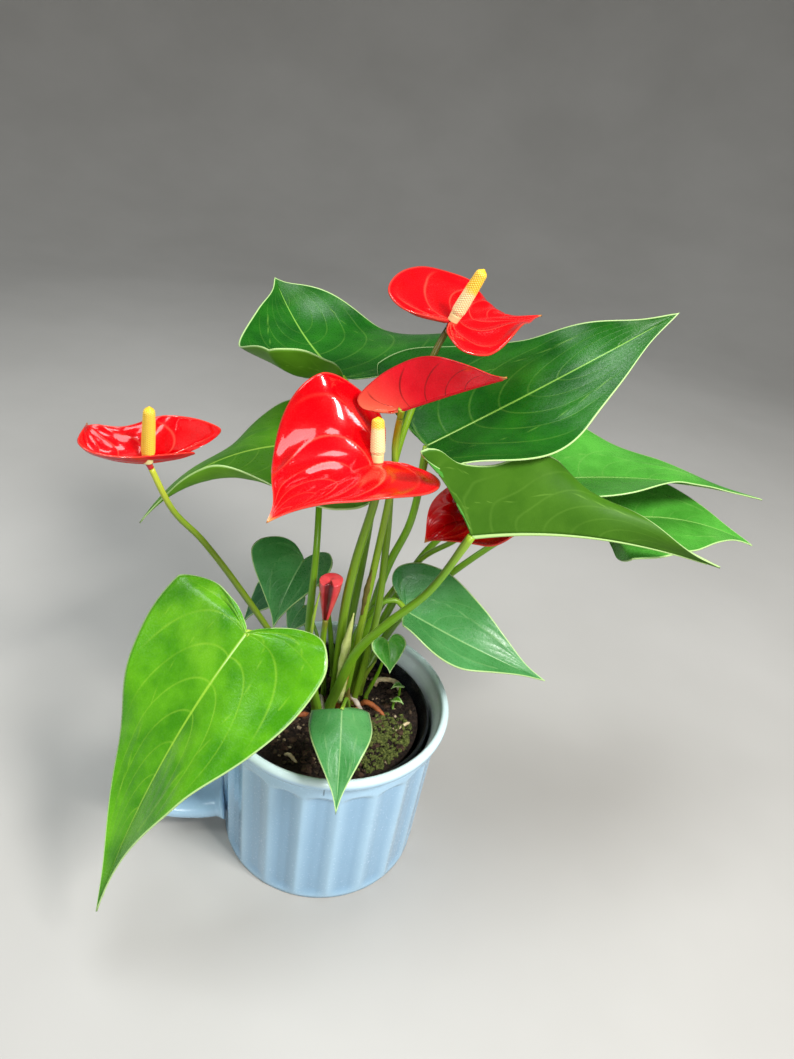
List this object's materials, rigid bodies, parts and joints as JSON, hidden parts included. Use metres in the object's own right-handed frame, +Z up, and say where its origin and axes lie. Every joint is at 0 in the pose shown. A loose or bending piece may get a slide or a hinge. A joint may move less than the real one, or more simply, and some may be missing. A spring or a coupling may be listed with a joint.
{
  "type": "potted flamingo flower",
  "caption": "Flamingo flower with glossy heart-shaped leaves and red spathes on slender stems, in a black nursery pot set inside a fluted pale blue glazed mug pot with an ear handle.",
  "frame": {"origin": "middle of the mug pot's flat foot, on the surface it stands on", "axes": "+Z up along the pot's axis; -Y towards the front, where the picture was taken from; +X to the right, away from the handle"},
  "size_m": [0.3934, 0.3274, 0.3625],
  "materials": {
    "sky_glaze": "smooth pale blue glaze with a soft gloss",
    "black_plastic": "thin black moulded plastic",
    "potting_soil": "damp dark bark and peat mix",
    "leaf_green": "waxy leaf with a pale margin and veins",
    "stalk_green": "smooth green stalk turning olive",
    "spathe_red": "mirror-glossy waxy red spathe",
    "spadix_yellow": "matte spike of tiny florets, cream below and yellow above",
    "bract_tan": "dry papery bract",
    "root_ivory": "dull ivory root"
  },
  "bodies": {
    "root": {"mug_pot": "sky_glaze", "nursery_pot": "black_plastic", "soil": "potting_soil", "aerial_root": "root_ivory", "bract_green": "stalk_green", "bract_tan": "bract_tan", "leaf_front_left": "leaf_green", "leaf_back_left": "leaf_green", "leaf_mid_left": "leaf_green", "leaf_upper_right": "leaf_green", "leaf_arched_right": "leaf_green", "leaf_right": "leaf_green", "leaf_lower_right": "leaf_green", "leaf_low_right": "leaf_green", "leaf_front": "leaf_green", "leaf_small_left": "leaf_green", "leaf_dark_left": "leaf_green", "leaf_teal_left": "leaf_green", "leaf_stunted": "leaf_green", "seedling_front": "leaf_green", "seedling_back": "leaf_green", "flower_centre_stem": "stalk_green", "flower_centre_spathe": "spathe_red", "flower_centre_spadix": "spadix_yellow", "flower_top_stem": "stalk_green", "flower_top_spathe": "spathe_red", "flower_top_spadix": "spadix_yellow", "flower_left_stem": "stalk_green", "flower_left_spathe": "spathe_red", "flower_left_spadix": "spadix_yellow", "flower_coral_stem": "stalk_green", "flower_coral_spathe": "spathe_red", "flower_coral_spadix": "spadix_yellow", "flower_low_stem": "stalk_green", "flower_low_spathe": "spathe_red", "flower_low_spadix": "spadix_yellow", "flower_bud_stem": "stalk_green", "flower_bud": "spathe_red"}
  },
  "joints": []
}
